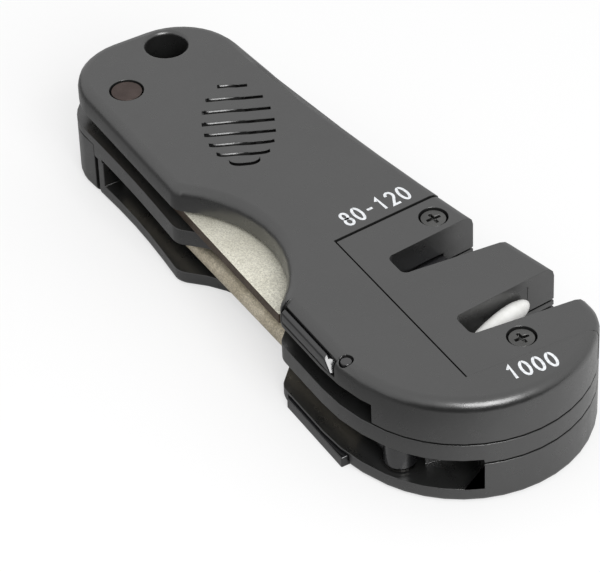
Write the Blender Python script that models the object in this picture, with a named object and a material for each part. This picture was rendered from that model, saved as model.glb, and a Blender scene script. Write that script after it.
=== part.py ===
"""Folding pocket knife sharpener, in metres with +Z up.

The handle end points to -X and the head to +X. Both notches open to +Y, and
the file and the rod swing out through the -Y side. The back face is at z = 0.
"""
import math

import bmesh
import bpy
from mathutils import Matrix, Vector

# Whole body
LENGTH = 0.1082
WIDTH = 0.0390
THICKNESS = 0.0191
OVERRUN = 0.0100
SEAT_GAP = 0.0003
RUNNING_GAP = 0.0002

# Outline of the body, with a squarer lower tail corner on the rear layers
HEAD_BULGE = 0.0009
HEAD_RISE = 0.0010
HEEL_EXTRA = 0.0104
SHOULDER_RADIUS = 0.0068
TAIL_WIDTH = 0.0278
TAIL_FRONT_RADIUS = 0.0103
TAIL_BLOCK_RADIUS = 0.0086
TAIL_UPPER_RADIUS = 0.0113
FLARE_INSET = 0.0218
FLARE_ANGLE = math.radians(3.8)
FLARE_STEPS = 8
REAR_WAIST = 0.0007
DIVIDER_WAIST = 0.0003
WAIST_STEPS = 6
ARC_STEP = math.radians(9.0)

# Finger scallop
SCALLOP_X = 0.0013
SCALLOP_DEPTH = 0.0077
SCALLOP_RADIUS = 0.0201
SCALLOP_LIP_RADIUS = 0.0032

# Layers, from the back face up, each as a share of the thickness
PLATE_SHARE = 0.136
ROD_SLOT_SHARE = 0.2906
DIVIDER_SHARE = 0.1545
FILE_SLOT_SHARE = 0.1963
SEAM_DROP = 0.0006
FRONT_EDGE_RADIUS = 0.0018
BACK_EDGE_RADIUS = 0.0010
EDGE_STEPS = 3

# Pivots, from the ends and the lower edge
FILE_PIVOT_INSET = 0.0131
ROD_PIVOT_INSET = 0.0129
PIVOT_RISE = 0.0061

# Slot that the file folds into
FILE_SLOT_INSET = 0.0141
SLOT_SIDE_GAP = 0.0004

# Slot that the rod folds into, and the tail block beside it
ROD_SLOT_OFFSET = 0.0010
ROD_MOUTH_OFFSET = 0.0023
ROD_MOUTH_ANGLE = math.radians(-23.0)
ROD_MOUTH_DEPTH = 0.0080
TAIL_RIB_WIDTH = 0.0016
TAIL_GROOVE_WIDTH = 0.0010
TAIL_GROOVE_DEPTH = 0.0012
TAIL_LAP_HEIGHT = 0.0016

# File
FILE_WIDTH = 0.0092
FILE_THICKNESS = 0.0018
FILE_REACH = 0.0585
FILE_BUTT = 0.0072
FILE_BUTT_RADIUS = 0.0010
FILE_TIP_SLANT = 0.0030

# File pin and washers
FILE_PIN_RADIUS = 0.0015
FILE_PIN_HEAD_RADIUS = 0.0025
FILE_PIN_HEAD_HEIGHT = 0.0011
FILE_PIN_HEAD_SINK = 0.0002
FILE_PIN_FOOT_RISE = 0.0004
FILE_PIN_BOSS_RADIUS = 0.0025
FILE_WASHER_RADIUS = 0.0036
WASHER_THICKNESS = 0.0004
WAVE_WASHER_THICKNESS = 0.0002
WAVE_WASHER_SPACE = 0.00055
WAVE_CLEARANCE = 0.0001
WAVE_COUNT = 3

# Diamond rod and its hub
ROD_ROOT_SHARE = 0.378
ROD_TIP_RADIUS = 0.0011
ROD_TIP_GAP = 0.00175
ROD_TANG_RADIUS = 0.0012
ROD_TANG_LENGTH = 0.0040
ROD_DROOP_ANGLE = math.radians(2.0)
HUB_RADIUS = 0.0025
HUB_COLLAR_LENGTH = 0.0085
HUB_COLLAR_STEP = 0.0001

# Rod screw and washers
ROD_SCREW_RADIUS = 0.0013
ROD_SCREW_HEAD_RADIUS = 0.0023
ROD_SCREW_HEAD_HEIGHT = 0.0012
ROD_SCREW_SINK = 0.0003
ROD_SCREW_COVER = 0.0007
ROD_WASHER_RADIUS = 0.0024

# Notches
FINE_INSET = 0.01785
NOTCH_SPACING = 0.01705
COARSE_FLOOR_RISE = 0.0045
FINE_FLOOR_RISE = 0.0056
NOTCH_FLOOR_HALF = 0.0024
NOTCH_TAPER = math.radians(5.3)
NOTCH_FLOOR_RADIUS = 0.0011

# Guide block
GUIDE_WALL = 0.0035
GUIDE_SHELF = 0.0009
GUIDE_DROP = 0.0002
GUIDE_LEFT_MARGIN = 0.0095
GUIDE_RIGHT_MARGIN = 0.00965
GUIDE_LEFT_LEAN = math.radians(4.4)
GUIDE_RIGHT_LEAN = math.radians(2.7)

# Screws of the guide block
COARSE_SCREW_OFFSET = 0.00675
COARSE_SCREW_SHARE = 0.552
FINE_SCREW_OFFSET = 0.0066
FINE_SCREW_SHARE = 0.313
SCREW_HEAD_RADIUS = 0.0020
SCREW_HEAD_HEIGHT = 0.0013
SCREW_SINK = 0.0007
SCREW_RADIUS = 0.0011
SCREW_FOOT_RISE = 0.0004
CROSS_HALF = 0.00028
CROSS_LENGTH = 0.0012
CROSS_DEPTH = 0.0007

# Abrasives in the notches, which lean across each other
ABRASIVE_DROP = 0.00045
CERAMIC_RADIUS = 0.00185
CERAMIC_GAP = 0.0006
CERAMIC_FRONT_RISE = 0.0010
CERAMIC_TOP_RISE = 0.0136
CERAMIC_FOOT_DROP = 0.0019
CERAMIC_TOP_OFFSET = 0.0029
CERAMIC_FOOT_OFFSET = 0.0018
CERAMIC_END_RADIUS = 0.0012
CARBIDE_HALF_WIDTH = 0.0016
CARBIDE_THICKNESS = 0.0015
CARBIDE_GAP = 0.0007
CARBIDE_TOP_RISE = 0.0104
CARBIDE_FOOT_DROP = 0.0018
CARBIDE_TOP_OFFSET = 0.0029
CARBIDE_FOOT_OFFSET = 0.0016

# Catches let into the lower edge of each cover, and their pins
CATCH_LEAD = 0.0006
CATCH_LENGTH = 0.0144
CATCH_DEPTH = 0.0030
CATCH_SILL = 0.0009
CATCH_ROOF = 0.0013
CATCH_EDGE_RADIUS = 0.0019
CATCH_EDGE_INSET = 0.0026
CATCH_EDGE_TURN = math.radians(57.0)
CATCH_BAR_DROP = 0.0011
CATCH_BAR_RADIUS = 0.0008
CATCH_PIN_INSET = 0.0018
CATCH_PIN_SPACING = 0.0013
CATCH_PIN_RADIUS = 0.0009
CATCH_PIN_SINK = 0.0003
REAR_CATCH_SHIFT = 0.0007
REAR_CATCH_LENGTH = 0.0159
REAR_CATCH_THICKNESS = 0.0019
REAR_CATCH_PROUD = 0.0004

# Lanyard hole
LANYARD_INSET = 0.0057
LANYARD_RISE = 0.0113
LANYARD_RADIUS = 0.0034
LANYARD_RIM_RADIUS = 0.0007

# Grip grooves: a row of slots whose ends follow an oval
GRIP_INSET = 0.0307
GRIP_RISE = 0.0105
GRIP_COUNT = 8
GRIP_FIRST_PITCH = 0.00335
GRIP_PITCH_DROP = 0.00015
GRIP_ANGLE = math.radians(66.0)
GRIP_HALF_HEIGHT = 0.0059
GRIP_END_MARGIN = 0.00145
GRIP_SLOT_HALF = 0.0004
GRIP_DEPTH = 0.0004

# Moulded cells that lighten the covers
CELL_COUNT = 4
CELL_INSET = 0.0186
CELL_WALL = 0.0016
CELL_SIDE_WALL = 0.0036
CELL_WIDTH = 0.0094
CELL_SKIN = 0.0024

# Values worked out from the sizes above
LOWER_Y = (REAR_CATCH_PROUD - WIDTH) / 2
UPPER_Y = (REAR_CATCH_PROUD + WIDTH) / 2
TAIL_X = -LENGTH / 2
HEAD_END_X = LENGTH / 2
HEAD_RADIUS = WIDTH / 2 + HEAD_BULGE
HEEL_RADIUS = HEAD_RADIUS + HEEL_EXTRA
HEAD_X = HEAD_END_X - HEAD_RADIUS
HEAD_Y = LOWER_Y + HEAD_RISE + HEAD_RADIUS
FILE_PIVOT_X = TAIL_X + FILE_PIVOT_INSET
ROD_PIVOT_X = HEAD_END_X - ROD_PIVOT_INSET
PIVOT_Y = LOWER_Y + PIVOT_RISE
FILE_SLOT_SIDE_Y = PIVOT_Y + FILE_WIDTH / 2 + SLOT_SIDE_GAP
ROD_SLOT_SIDE_Y = PIVOT_Y + HUB_RADIUS + SLOT_SIDE_GAP
ROD_SLOT_START = FILE_PIVOT_X + ROD_SLOT_OFFSET
TAIL_SPLIT_X = ROD_SLOT_START - TAIL_RIB_WIDTH - TAIL_GROOVE_WIDTH
FINE_X = HEAD_END_X - FINE_INSET
COARSE_X = FINE_X - NOTCH_SPACING
GUIDE_LEFT_X = COARSE_X - GUIDE_LEFT_MARGIN
GUIDE_RIGHT_X = FINE_X + GUIDE_RIGHT_MARGIN
GUIDE_LOWER_Y = FILE_SLOT_SIDE_Y + GUIDE_WALL
COARSE_FLOOR_Y = GUIDE_LOWER_Y + COARSE_FLOOR_RISE
FINE_FLOOR_Y = GUIDE_LOWER_Y + FINE_FLOOR_RISE
PLATE_THICKNESS = THICKNESS * PLATE_SHARE
ROD_SLOT_HEIGHT = THICKNESS * ROD_SLOT_SHARE
DIVIDER_LOW = PLATE_THICKNESS + ROD_SLOT_HEIGHT
DIVIDER_HIGH = DIVIDER_LOW + THICKNESS * DIVIDER_SHARE
SEAM_Z = DIVIDER_LOW - SEAM_DROP
FRONT_PLATE_Z = DIVIDER_HIGH + THICKNESS * FILE_SLOT_SHARE
GUIDE_TOP = THICKNESS - GUIDE_DROP
GUIDE_BOTTOM = DIVIDER_HIGH + GUIDE_SHELF + 2 * SEAT_GAP
ABRASIVE_Z = GUIDE_BOTTOM - ABRASIVE_DROP
FILE_TOP = FRONT_PLATE_Z - 2 * RUNNING_GAP - WASHER_THICKNESS
FILE_BOTTOM = FILE_TOP - FILE_THICKNESS
HUB_BOTTOM = PLATE_THICKNESS + 2 * RUNNING_GAP + WASHER_THICKNESS
HUB_TOP = DIVIDER_LOW - WAVE_WASHER_SPACE
ROD_Z = (HUB_BOTTOM + HUB_TOP) / 2
ROD_ROOT_RADIUS = ROD_SLOT_HEIGHT * ROD_ROOT_SHARE


# Materials

def material(name, colour, roughness, metallic=0.0):
    """Make the Principled material of one object."""
    made = bpy.data.materials.new(name)
    made.use_nodes = True
    shader = made.node_tree.nodes["Principled BSDF"]
    shader.inputs["Base Color"].default_value = (*colour, 1.0)
    shader.inputs["Roughness"].default_value = roughness
    shader.inputs["Metallic"].default_value = metallic
    return made


PLASTIC = ((0.045, 0.046, 0.048), 0.45, 0.0)
DARK_STEEL = ((0.10, 0.10, 0.11), 0.30, 1.0)
STEEL = ((0.55, 0.55, 0.55), 0.30, 1.0)
DIAMOND = ((0.42, 0.40, 0.36), 0.60, 0.6)
CARBIDE = ((0.16, 0.16, 0.17), 0.35, 1.0)
CERAMIC = ((0.85, 0.85, 0.82), 0.40, 0.0)


# Outlines

def arc(centre, radius, start, end):
    """List points along an arc, both ends included."""
    count = max(2, math.ceil(abs(end - start) / ARC_STEP))
    angles = [start + (end - start) * step / count for step in range(count + 1)]
    return [(centre[0] + radius * math.cos(a), centre[1] + radius * math.sin(a)) for a in angles]


def scallop_lean():
    """Give the angle of the line from the scallop's centre to its right lip's centre."""
    rise = SCALLOP_LIP_RADIUS + SCALLOP_RADIUS - SCALLOP_DEPTH
    return math.asin(rise / (SCALLOP_RADIUS + SCALLOP_LIP_RADIUS))


def scallop_reach():
    """Give the distance from the scallop's middle to the end of its lip."""
    return (SCALLOP_RADIUS + SCALLOP_LIP_RADIUS) * math.cos(scallop_lean())


def scallop_points():
    """Follow the finger scallop from its left lip to its right lip."""
    centre = (SCALLOP_X, LOWER_Y + SCALLOP_DEPTH - SCALLOP_RADIUS)
    lip_y = LOWER_Y + SCALLOP_LIP_RADIUS
    lean = scallop_lean()
    reach = scallop_reach()
    left = arc((SCALLOP_X - reach, lip_y), SCALLOP_LIP_RADIUS, -math.pi / 2, -lean)
    bowl = arc(centre, SCALLOP_RADIUS, math.pi - lean, lean)
    right = arc((SCALLOP_X + reach, lip_y), SCALLOP_LIP_RADIUS, math.pi + lean, 1.5 * math.pi)
    return left + bowl[1:-1] + right


def head_points():
    """Follow the heel, the head's circle and its shoulder."""
    heel_y = LOWER_Y + HEEL_RADIUS
    heel_turn = math.acos((heel_y - HEAD_Y) / (HEEL_RADIUS - HEAD_RADIUS))
    heel_x = HEAD_X - (HEEL_RADIUS - HEAD_RADIUS) * math.sin(heel_turn)
    shoulder_y = UPPER_Y - SHOULDER_RADIUS
    shoulder_turn = math.asin((shoulder_y - HEAD_Y) / (HEAD_RADIUS - SHOULDER_RADIUS))
    shoulder_x = HEAD_X + (HEAD_RADIUS - SHOULDER_RADIUS) * math.cos(shoulder_turn)
    down = -math.pi / 2
    heel = arc((heel_x, heel_y), HEEL_RADIUS, down, down + heel_turn)
    head = arc((HEAD_X, HEAD_Y), HEAD_RADIUS, down + heel_turn, shoulder_turn)
    shoulder = arc((shoulder_x, shoulder_y), SHOULDER_RADIUS, shoulder_turn, math.pi / 2)
    return heel + head[1:-1] + shoulder


def tail_points(lower_radius, waist):
    """Follow the flared upper edge, the two arcs of the handle end and the lower edge's waist."""
    upper_centre = (TAIL_X + TAIL_UPPER_RADIUS, LOWER_Y + TAIL_WIDTH - TAIL_UPPER_RADIUS)
    lower_centre = (TAIL_X + lower_radius, LOWER_Y + lower_radius)
    upper = arc(upper_centre, TAIL_UPPER_RADIUS, math.pi / 2 + FLARE_ANGLE, math.pi)
    lower = arc(lower_centre, lower_radius, math.pi, 1.5 * math.pi)
    start_x, start_y = upper[0]
    run = HEAD_END_X - FLARE_INSET - start_x
    rise = UPPER_Y - start_y - run * math.tan(FLARE_ANGLE)
    flare = []
    for step in range(FLARE_STEPS, 0, -1):
        share = step / FLARE_STEPS
        along = run * share
        flare.append((start_x + along, start_y + along * math.tan(FLARE_ANGLE) + rise * share ** 2))
    start_x = lower[-1][0]
    edge = []
    for step in range(1, WAIST_STEPS):
        share = step / WAIST_STEPS
        along = (SCALLOP_X - scallop_reach() - start_x) * share
        edge.append((start_x + along, LOWER_Y + waist * math.sin(math.pi * share)))
    return flare + upper + lower + edge


def body_outline(tail_radius, waist=0.0, inset=0.0):
    """Give the body's outline, counterclockwise, moved in by the inset."""
    points = scallop_points() + head_points() + tail_points(tail_radius, waist)
    if not inset:
        return points
    moved = []
    for index, point in enumerate(points):
        here = Vector(point)
        before = (here - Vector(points[index - 1])).normalized()
        after = (Vector(points[(index + 1) % len(points)]) - here).normalized()
        inward = Vector((-before.y - after.y, before.x + after.x)).normalized()
        reach = inset / inward.dot(Vector((-before.y, before.x)))
        moved.append(tuple(here + inward * reach))
    return moved


def rectangle(x0, x1, y0, y1):
    """Give the four corners of a rectangle."""
    return [(x0, y0), (x1, y0), (x1, y1), (x0, y1)]


# Solids

def mesh_object(name, bm, look=None):
    """Turn a bmesh into a linked object, with its material if it has one."""
    bmesh.ops.recalc_face_normals(bm, faces=bm.faces)
    mesh = bpy.data.meshes.new(name)
    bm.to_mesh(mesh)
    bm.free()
    made = bpy.data.objects.new(name, mesh)
    bpy.context.collection.objects.link(made)
    if look:
        mesh.materials.append(material(name, *look))
    return made


def loft(name, sections, look=None):
    """Join outlines of equal point count, each a list of 3-D points, and cap both ends."""
    bm = bmesh.new()
    rings = [[bm.verts.new(point) for point in section] for section in sections]
    for low, high in zip(rings, rings[1:]):
        for index in range(len(low)):
            after = (index + 1) % len(low)
            bm.faces.new((low[index], low[after], high[after], high[index]))
    bm.faces.new(reversed(rings[0]))
    bm.faces.new(rings[-1])
    return mesh_object(name, bm, look)


def prism(name, outline, low, high, look=None):
    """Extrude an outline from one height to another."""
    return loft(name, [[(x, y, z) for x, y in outline] for z in (low, high)], look)


def body_slab(name, low, high, tail_radius, look=None, waist=0.0, low_radius=0.0, high_radius=0.0):
    """Make a layer of the body, with its lower or upper rim rounded over."""
    sections = []
    turns = [math.pi / 2 * step / EDGE_STEPS for step in range(EDGE_STEPS + 1)]
    for radius, z, way in ((low_radius, low, 1), (high_radius, high, -1)):
        rims = []
        for turn in turns if radius else turns[:1]:
            inset = radius * (1 - math.cos(turn))
            rims.append((inset, z + way * radius * (1 - math.sin(turn))))
        sections += reversed(rims) if way > 0 else rims
    rings = [[(x, y, z) for x, y in body_outline(tail_radius, waist, inset)] for inset, z in sections]
    return loft(name, rings, look)


def bar_along(name, outline, start, end, look=None):
    """Extrude a (y, z) outline along X."""
    return loft(name, [[(x, y, z) for y, z in outline] for x in (start, end)], look)


def turned(name, centre, profile, look=None, sides=24):
    """Stack circles given as (radius, height) pairs on a vertical axis."""
    sections = []
    for radius, z in profile:
        turns = [2 * math.pi * side / sides for side in range(sides)]
        ring = []
        for turn in turns:
            ring.append((centre[0] + radius * math.cos(turn), centre[1] + radius * math.sin(turn), z))
        sections.append(ring)
    made = smooth(loft(name, sections, look))
    set_origin(made, (*centre, profile[0][1]))
    return made


def set_origin(made, origin):
    """Move an object's origin without moving its shape."""
    made.data.transform(Matrix.Translation(-Vector(origin)))
    made.location = origin


def hinge(name, centre, z, *pieces):
    """Put an empty on a hinge's axis and parent the pieces that turn on it."""
    axis = bpy.data.objects.new(name, None)
    bpy.context.collection.objects.link(axis)
    axis.location = (*centre, z)
    for piece in pieces:
        shift = piece.location - axis.location
        piece.data.transform(Matrix.Translation(shift))
        piece.location = (0, 0, 0)
        piece.parent = axis


def smooth(made):
    """Shade a round piece smooth with crisp edges."""
    made.data.shade_smooth()
    made.data.set_sharp_from_angle(angle=math.radians(35.0))
    return made


def boolean(target, other, operation="DIFFERENCE"):
    """Cut, join or intersect one object with a hidden one."""
    other.hide_render = True
    other.display_type = "WIRE"
    modifier = target.modifiers.new(other.name, "BOOLEAN")
    modifier.operation = operation
    modifier.solver = "EXACT"
    modifier.object = other


def cut(cutter, *targets):
    """Cut one cutter out of several objects."""
    for target in targets:
        boolean(target, cutter)


def bore(name, centre, radius, low, high, *targets, sides=24):
    """Cut a round hole."""
    cut(turned(name, centre, [(radius, low), (radius, high)], sides=sides), *targets)


def round_rim(name, centre, face_z, way, target):
    """Round over the lanyard hole's rim at a face; way is 1 for the front face and -1 for the back."""
    profile = []
    for step in range(EDGE_STEPS + 1):
        turn = math.pi / 2 * step / EDGE_STEPS
        radius = LANYARD_RADIUS + LANYARD_RIM_RADIUS * (1 - math.cos(turn))
        profile.append((radius, face_z - way * LANYARD_RIM_RADIUS * (1 - math.sin(turn))))
    profile.append((profile[-1][0], face_z + way * OVERRUN))
    cut(turned(name, centre, profile), target)


# Cutters that several pieces share

def notch_outline(centre_x, floor_y):
    """Give a tapered notch with a rounded closed end."""
    slope = math.tan(NOTCH_TAPER)
    mouth_y = UPPER_Y + OVERRUN
    mouth_half = NOTCH_FLOOR_HALF + slope * (mouth_y - floor_y)
    corner_y = floor_y + NOTCH_FLOOR_RADIUS
    corner_x = NOTCH_FLOOR_HALF - NOTCH_FLOOR_RADIUS
    left = arc((centre_x - corner_x, corner_y), NOTCH_FLOOR_RADIUS, math.pi - NOTCH_TAPER, 1.5 * math.pi)
    right = arc((centre_x + corner_x, corner_y), NOTCH_FLOOR_RADIUS, -math.pi / 2, NOTCH_TAPER)
    return [(centre_x - mouth_half, mouth_y)] + left + right + [(centre_x + mouth_half, mouth_y)]


def file_slot_outline():
    """Give the floor plan of the slot that the file folds into."""
    corner = math.hypot(FILE_BUTT - FILE_BUTT_RADIUS, FILE_WIDTH / 2 - FILE_BUTT_RADIUS)
    swing = corner + FILE_BUTT_RADIUS + SLOT_SIDE_GAP
    lean = math.asin((FILE_SLOT_SIDE_Y - PIVOT_Y) / swing)
    round_wall = arc((FILE_PIVOT_X, PIVOT_Y), swing, lean, math.pi - lean)
    lower_y = LOWER_Y - OVERRUN
    end_x = HEAD_END_X - FILE_SLOT_INSET
    far_x = TAIL_X - OVERRUN
    start = [(far_x, lower_y), (end_x, lower_y), (end_x, FILE_SLOT_SIDE_Y)]
    return start + round_wall + [(far_x, FILE_SLOT_SIDE_Y)]


def rod_slot_outline():
    """Give the floor plan of the slot that the rod folds into, round the file pin's boss."""
    lower_y = LOWER_Y - OVERRUN
    mouth = []
    along_x = math.cos(ROD_MOUTH_ANGLE)
    along_y = math.sin(ROD_MOUTH_ANGLE)
    for reach in (HEAD_RADIUS - ROD_MOUTH_DEPTH, HEAD_RADIUS + OVERRUN):
        mouth.append((HEAD_X + reach * along_x, HEAD_Y + reach * along_y))
    head = [(ROD_SLOT_START, lower_y), (mouth[1][0], lower_y), mouth[1], mouth[0]]
    side = [(ROD_PIVOT_X + ROD_MOUTH_OFFSET, ROD_SLOT_SIDE_Y), (ROD_SLOT_START, ROD_SLOT_SIDE_Y)]
    turn = math.acos(ROD_SLOT_OFFSET / FILE_PIN_BOSS_RADIUS)
    return head + side + arc((FILE_PIVOT_X, PIVOT_Y), FILE_PIN_BOSS_RADIUS, turn, -turn)


def cut_grip(face_z, name, target):
    """Cut the row of grip grooves into one face."""
    along = Vector((math.cos(GRIP_ANGLE), math.sin(GRIP_ANGLE)))
    across = Vector((along.y, -along.x))
    row = (GRIP_COUNT - 1) * (GRIP_FIRST_PITCH - GRIP_PITCH_DROP * (GRIP_COUNT - 2) / 2)
    oval_half = row / 2 + GRIP_END_MARGIN
    for index in range(GRIP_COUNT):
        shift = index * (GRIP_FIRST_PITCH - GRIP_PITCH_DROP * (index - 1) / 2) - row / 2
        half = GRIP_HALF_HEIGHT * math.sqrt(1 - (shift / oval_half) ** 2)
        middle = Vector((TAIL_X + GRIP_INSET, PIVOT_Y + GRIP_RISE)) + across * shift
        corners = []
        for end, side in ((-1, -1), (1, -1), (1, 1), (-1, 1)):
            corners.append(tuple(middle + along * half * end - across * GRIP_SLOT_HALF * side))
        cut(prism(f"{name}_{index}", corners, face_z - GRIP_DEPTH, face_z + GRIP_DEPTH), target)


def cut_cells(name, low, high, target):
    """Cut a row of moulded cells between the tail and the guide block."""
    start = TAIL_X + CELL_INSET
    pitch = (GUIDE_LEFT_X - CELL_SIDE_WALL - start) / CELL_COUNT
    lower_y = FILE_SLOT_SIDE_Y + CELL_SIDE_WALL
    for index in range(CELL_COUNT):
        left = start + index * pitch
        cell = rectangle(left, left + pitch - CELL_WALL, lower_y, lower_y + CELL_WIDTH)
        cut(prism(f"{name}_{index}", cell, low, high), target)


# Covers, divider and guide block

def make_body():
    """Build the four moulded pieces and cut what they share."""
    low = DIVIDER_HIGH + SEAT_GAP
    lap_top = DIVIDER_LOW + TAIL_LAP_HEIGHT - SEAT_GAP
    edge = BACK_EDGE_RADIUS
    rear = body_slab("rear_cover", 0, lap_top, TAIL_BLOCK_RADIUS, PLASTIC, REAR_WAIST, low_radius=edge)
    divider = body_slab("divider_plate", SEAM_Z, DIVIDER_HIGH, TAIL_BLOCK_RADIUS, PLASTIC, DIVIDER_WAIST)
    edge = FRONT_EDGE_RADIUS
    front = body_slab("front_cover", low, THICKNESS, TAIL_FRONT_RADIUS, PLASTIC, high_radius=edge)

    # Slots for the folding tools
    cut(prism("file_slot", file_slot_outline(), 0, FRONT_PLATE_Z), front)
    cut(prism("rod_slot", rod_slot_outline(), PLATE_THICKNESS, THICKNESS), rear)
    cut(prism("rod_slot_roof", rod_slot_outline(), 0, DIVIDER_LOW), divider)
    groove_x = TAIL_SPLIT_X + TAIL_GROOVE_WIDTH
    groove = rectangle(TAIL_SPLIT_X, groove_x, LOWER_Y - OVERRUN, LOWER_Y + TAIL_GROOVE_DEPTH)
    cut(prism("tail_groove", groove, -OVERRUN, THICKNESS), rear)

    # The tail block of the rear cover laps into a rebate of the divider
    main_side = rectangle(TAIL_SPLIT_X, HEAD_END_X + OVERRUN, -WIDTH, WIDTH)
    cut(prism("rear_top", main_side, SEAM_Z - SEAT_GAP, THICKNESS), rear)
    rebate = rectangle(TAIL_X - OVERRUN, TAIL_SPLIT_X + SEAT_GAP, -WIDTH, WIDTH)
    cut(prism("tail_rebate", rebate, 0, DIVIDER_LOW + TAIL_LAP_HEIGHT), divider)

    # Guide block in its recess
    top_y = UPPER_Y + OVERRUN
    left_lean = (top_y - GUIDE_LOWER_Y) * math.tan(GUIDE_LEFT_LEAN)
    right_lean = (top_y - GUIDE_LOWER_Y) * math.tan(GUIDE_RIGHT_LEAN)
    region = [
        (GUIDE_LEFT_X, GUIDE_LOWER_Y),
        (GUIDE_RIGHT_X, GUIDE_LOWER_Y),
        (GUIDE_RIGHT_X + right_lean, top_y),
        (GUIDE_LEFT_X - left_lean, top_y),
    ]
    recess = [
        (GUIDE_LEFT_X - SEAT_GAP, GUIDE_LOWER_Y - SEAT_GAP),
        (GUIDE_RIGHT_X + SEAT_GAP, GUIDE_LOWER_Y - SEAT_GAP),
        (GUIDE_RIGHT_X + SEAT_GAP + right_lean, top_y),
        (GUIDE_LEFT_X - SEAT_GAP - left_lean, top_y),
    ]
    edge = FRONT_EDGE_RADIUS
    guide = body_slab("guide_block", GUIDE_BOTTOM, GUIDE_TOP, TAIL_FRONT_RADIUS, PLASTIC, high_radius=edge)
    boolean(guide, prism("guide_region", region, 0, THICKNESS), "INTERSECT")
    cut(prism("guide_recess", recess, GUIDE_BOTTOM - SEAT_GAP, THICKNESS + OVERRUN), front)

    # Notches and lanyard hole
    coarse = ("coarse_notch", COARSE_X, COARSE_FLOOR_Y)
    fine = ("fine_notch", FINE_X, FINE_FLOOR_Y)
    for name, centre_x, floor_y in (coarse, fine):
        notch = prism(name, notch_outline(centre_x, floor_y), -OVERRUN, THICKNESS + OVERRUN)
        cut(notch, guide, front, divider, rear)
    lanyard = (TAIL_X + LANYARD_INSET, PIVOT_Y + LANYARD_RISE)
    bore("lanyard_hole", lanyard, LANYARD_RADIUS, -OVERRUN, THICKNESS + OVERRUN, front, divider, rear)
    round_rim("lanyard_front_rim", lanyard, THICKNESS, 1, front)
    round_rim("lanyard_rear_rim", lanyard, 0, -1, rear)

    # Grip and cells
    cut_grip(THICKNESS, "front_grip", front)
    cut_grip(0, "rear_grip", rear)
    cut_cells("front_cell", 0, THICKNESS - CELL_SKIN, front)
    cut_cells("rear_cell", CELL_SKIN, THICKNESS, rear)
    return rear, divider, front, guide


# Folding tools

def make_file(front, divider, rear):
    """Build the flat file, its pin and its washers."""
    half = FILE_WIDTH / 2
    butt_x = FILE_PIVOT_X - FILE_BUTT
    tip_x = FILE_PIVOT_X + FILE_REACH
    low_corner = (butt_x + FILE_BUTT_RADIUS, PIVOT_Y - half + FILE_BUTT_RADIUS)
    high_corner = (butt_x + FILE_BUTT_RADIUS, PIVOT_Y + half - FILE_BUTT_RADIUS)
    outline = [(tip_x - FILE_TIP_SLANT, PIVOT_Y - half), (tip_x, PIVOT_Y + half)]
    outline += arc(high_corner, FILE_BUTT_RADIUS, math.pi / 2, math.pi)
    outline += arc(low_corner, FILE_BUTT_RADIUS, math.pi, 1.5 * math.pi)
    plate = prism("file_plate", outline, FILE_BOTTOM, FILE_TOP, DIAMOND)
    centre = (FILE_PIVOT_X, PIVOT_Y)
    bore("file_bore", centre, FILE_PIN_RADIUS + RUNNING_GAP, 0, THICKNESS, plate)

    foot = PLATE_THICKNESS + FILE_PIN_FOOT_RISE
    head_high = THICKNESS - FILE_PIN_HEAD_SINK
    head_low = head_high - FILE_PIN_HEAD_HEIGHT
    pin_profile = [
        (FILE_PIN_RADIUS, foot),
        (FILE_PIN_RADIUS, head_low),
        (FILE_PIN_HEAD_RADIUS, head_low),
        (FILE_PIN_HEAD_RADIUS, head_high),
    ]
    turned("file_pivot_pin", centre, pin_profile, DARK_STEEL)
    seat_profile = [
        (FILE_PIN_RADIUS + RUNNING_GAP, foot - SEAT_GAP),
        (FILE_PIN_RADIUS + RUNNING_GAP, head_low - SEAT_GAP),
        (FILE_PIN_HEAD_RADIUS + SEAT_GAP, head_low - SEAT_GAP),
        (FILE_PIN_HEAD_RADIUS + SEAT_GAP, THICKNESS + OVERRUN),
    ]
    cut(turned("file_pin_seat", centre, seat_profile), front, divider, rear)

    inner = FILE_PIN_RADIUS + RUNNING_GAP
    hinge("file_axis", centre, (FILE_BOTTOM + FILE_TOP) / 2, plate)
    washer_low = FILE_TOP + RUNNING_GAP
    washer("file_washer", centre, inner, FILE_WASHER_RADIUS, washer_low, washer_low + WASHER_THICKNESS)
    wave_washer("file_wave_washer", centre, inner, FILE_WASHER_RADIUS, DIVIDER_HIGH, FILE_BOTTOM)


def washer(name, centre, inner, outer, low, high):
    """Build a plain washer."""
    made = turned(name, centre, [(outer, low), (outer, high)], STEEL)
    bore(name + "_bore", centre, inner, low - OVERRUN, high + OVERRUN, made)


def wave_washer(name, centre, inner, outer, low, high):
    """Build a thin spring washer whose waves fill the space between two seats."""
    sides = 36
    middle = (low + high) / 2
    wave = (high - low - WAVE_WASHER_THICKNESS) / 2 - WAVE_CLEARANCE
    bm = bmesh.new()
    rings = []
    half = WAVE_WASHER_THICKNESS / 2
    for radius, offset in ((inner, -half), (outer, -half), (outer, half), (inner, half)):
        ring = []
        for side in range(sides):
            turn = 2 * math.pi * side / sides
            z = middle + offset + wave * math.cos(WAVE_COUNT * turn)
            x = centre[0] + radius * math.cos(turn)
            y = centre[1] + radius * math.sin(turn)
            ring.append(bm.verts.new((x, y, z)))
        rings.append(ring)
    for index, ring in enumerate(rings):
        other = rings[(index + 1) % len(rings)]
        for side in range(sides):
            after = (side + 1) % sides
            bm.faces.new((ring[side], ring[after], other[after], other[side]))
    smooth(mesh_object(name, bm, STEEL))


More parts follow.
